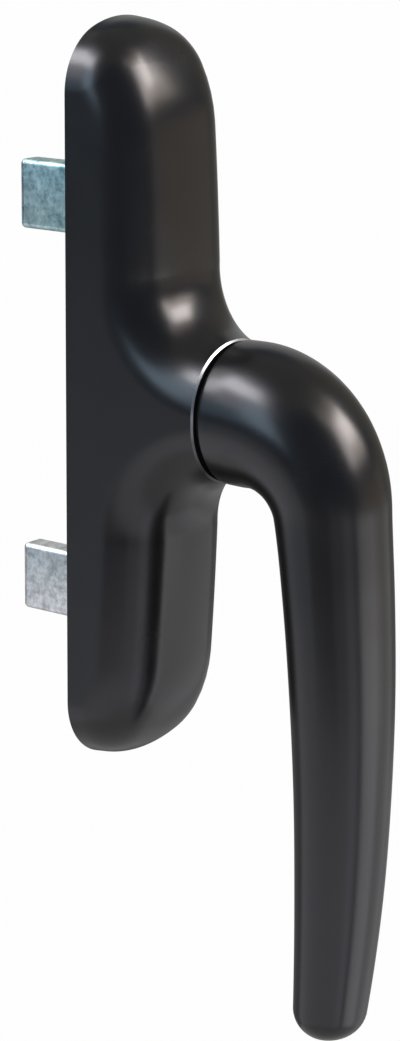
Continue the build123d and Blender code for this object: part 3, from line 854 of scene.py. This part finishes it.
def make_floor():
    """Pale floor, well below the handle, that keeps its shadow."""
    select_none()
    bpy.ops.mesh.primitive_plane_add(size=FLOOR_SIZE, location=(0, 0, FLOOR_HEIGHT))
    floor = named("studio_floor")
    material = bpy.data.materials.new("studio_floor")
    material.use_nodes = True
    tree = material.node_tree
    shader = tree.nodes["Principled BSDF"]
    shader.inputs["Base Color"].default_value = (0.92, 0.92, 0.92, 1)
    shader.inputs["Roughness"].default_value = 0.9
    shader.inputs["Specular IOR Level"].default_value = 0.1
    own = numbers(tree, seen_directly(tree), 0.0, FLOOR_GLOW)
    surface = mix_of(tree, own, shader.outputs["BSDF"], glow_of(tree, (1, 1, 1)))
    tree.links.new(surface, tree.nodes["Material Output"].inputs["Surface"])
    floor.data.materials.append(material)


make_world()
make_floor()
# Two lamps that model the forms, and the cards and flags that the paint and the metal reflect
soft_box("key_soft_box", azimuth=-25, elevation=38, wide=0.55, high=0.45, watts=9.0,
         colour=(1.0, 0.96, 0.94))
soft_box("side_soft_box", azimuth=112, elevation=45, wide=0.75, high=0.35, watts=5.0,
         colour=(0.94, 0.96, 1.0))

STUDIO = (             # name, azimuths, elevations, distance, colour
    ("dark_tent_sides", (-180, 180), (-9, 56), 1.62, (0.085, 0.11, 0.15)),
    ("dark_tent_top", (-180, 180), (54, 89), 1.58, (0.28, 0.27, 0.26)),
    ("left_strip", (9, 28), (-21, -8), 1.50, (0.85, 0.80, 0.88)),
    ("low_left_near", (28, 52), (-21, -8), 1.50, (0.42, 0.41, 0.45)),
    ("low_left", (52, 100), (-21, -8), 1.50, (0.13, 0.13, 0.15)),
    ("low_left_rear", (100, 165), (-21, -8), 1.50, (0.44, 0.48, 0.52)),
    ("left_strip_low", (9, 28), (-46, -21), 1.50, (1.1, 1.05, 1.2)),
    ("floor_left", (28, 165), (-46, -21), 1.50, (0.87, 0.85, 0.95)),
    ("low_rear", (165, 245), (-46, -8), 1.50, (0.22, 0.21, 0.21)),
    ("low_right_rear", (245, 282), (-21, -8), 1.50, (0.20, 0.20, 0.20)),
    ("floor_right_rear", (245, 282), (-46, -21), 1.50, (0.42, 0.41, 0.42)),
    ("under", (-180, 180), (-89, -46), 1.52, (0.60, 0.59, 0.60)),
    ("upright_front", (1, 10), (-50, -8), 1.45, (0.12, 0.10, 0.14)),
    ("front_board_low", (-34, 1), (-46, -21), 1.48, (1.75, 1.7, 1.8)),
    ("front_board", (-34, 1), (-21, -9), 1.48, (2.15, 2.1, 2.15)),
    ("right_board_near", (-46, -34), (-21, -9), 1.48, (1.3, 1.28, 1.25)),
    ("right_board", (-78, -46), (-21, -9), 1.48, (0.75, 0.74, 0.72)),
    ("right_board_low", (-78, -34), (-46, -21), 1.48, (0.83, 0.80, 0.83)),
    ("front_dim", (-68, -6), (-9, 9), 1.48, (0.49, 0.42, 0.36)),
    ("right_dim", (-106, -68), (-9, 52), 1.47, (0.24, 0.23, 0.20)),
    ("backdrop", (-166, -106), (-9, 38), 1.46, (0.5, 0.5, 0.5)),
    ("warm_box_top", (-50, -12), (46.5, 57), 1.42, (1.4, 1.15, 1.05)),
    ("warm_top_side", (-12, 12), (46.5, 57), 1.42, (1.8, 1.75, 1.6)),
    ("warm_box", (-47, -17), (30, 46.5), 1.42, (14.0, 13.0, 12.5)),
    ("warm_box_side", (-17, -3), (20, 46.5), 1.42, (7.0, 6.4, 6.3)),
    ("warm_box_low", (-50, -17), (20, 30), 1.42, (4.2, 3.7, 3.3)),
    ("cool_box", (94, 147), (41, 58), 1.40, (10.2, 10.2, 10.8)),
    ("cool_box_top", (88, 145), (58, 68), 1.40, (1.8, 1.8, 2.1)),
    ("cool_box_low", (106, 136), (20, 41), 1.42, (1.9, 1.9, 2.2)),
    ("cool_box_rear", (136, 153), (28, 41), 1.40, (7.5, 7.5, 7.8)),
    ("blue_box_side", (88, 106), (8, 40), 1.41, (2.3, 3.0, 3.7)),
    ("left_mid", (106, 140), (4, 20), 1.42, (0.55, 0.8, 1.05)),
    ("rear_left_box", (147, 205), (28, 55), 1.41, (1.4, 1.45, 1.5)),
)
for piece in STUDIO:
    card(*piece)

bpy.context.scene.view_settings.view_transform = "Standard"
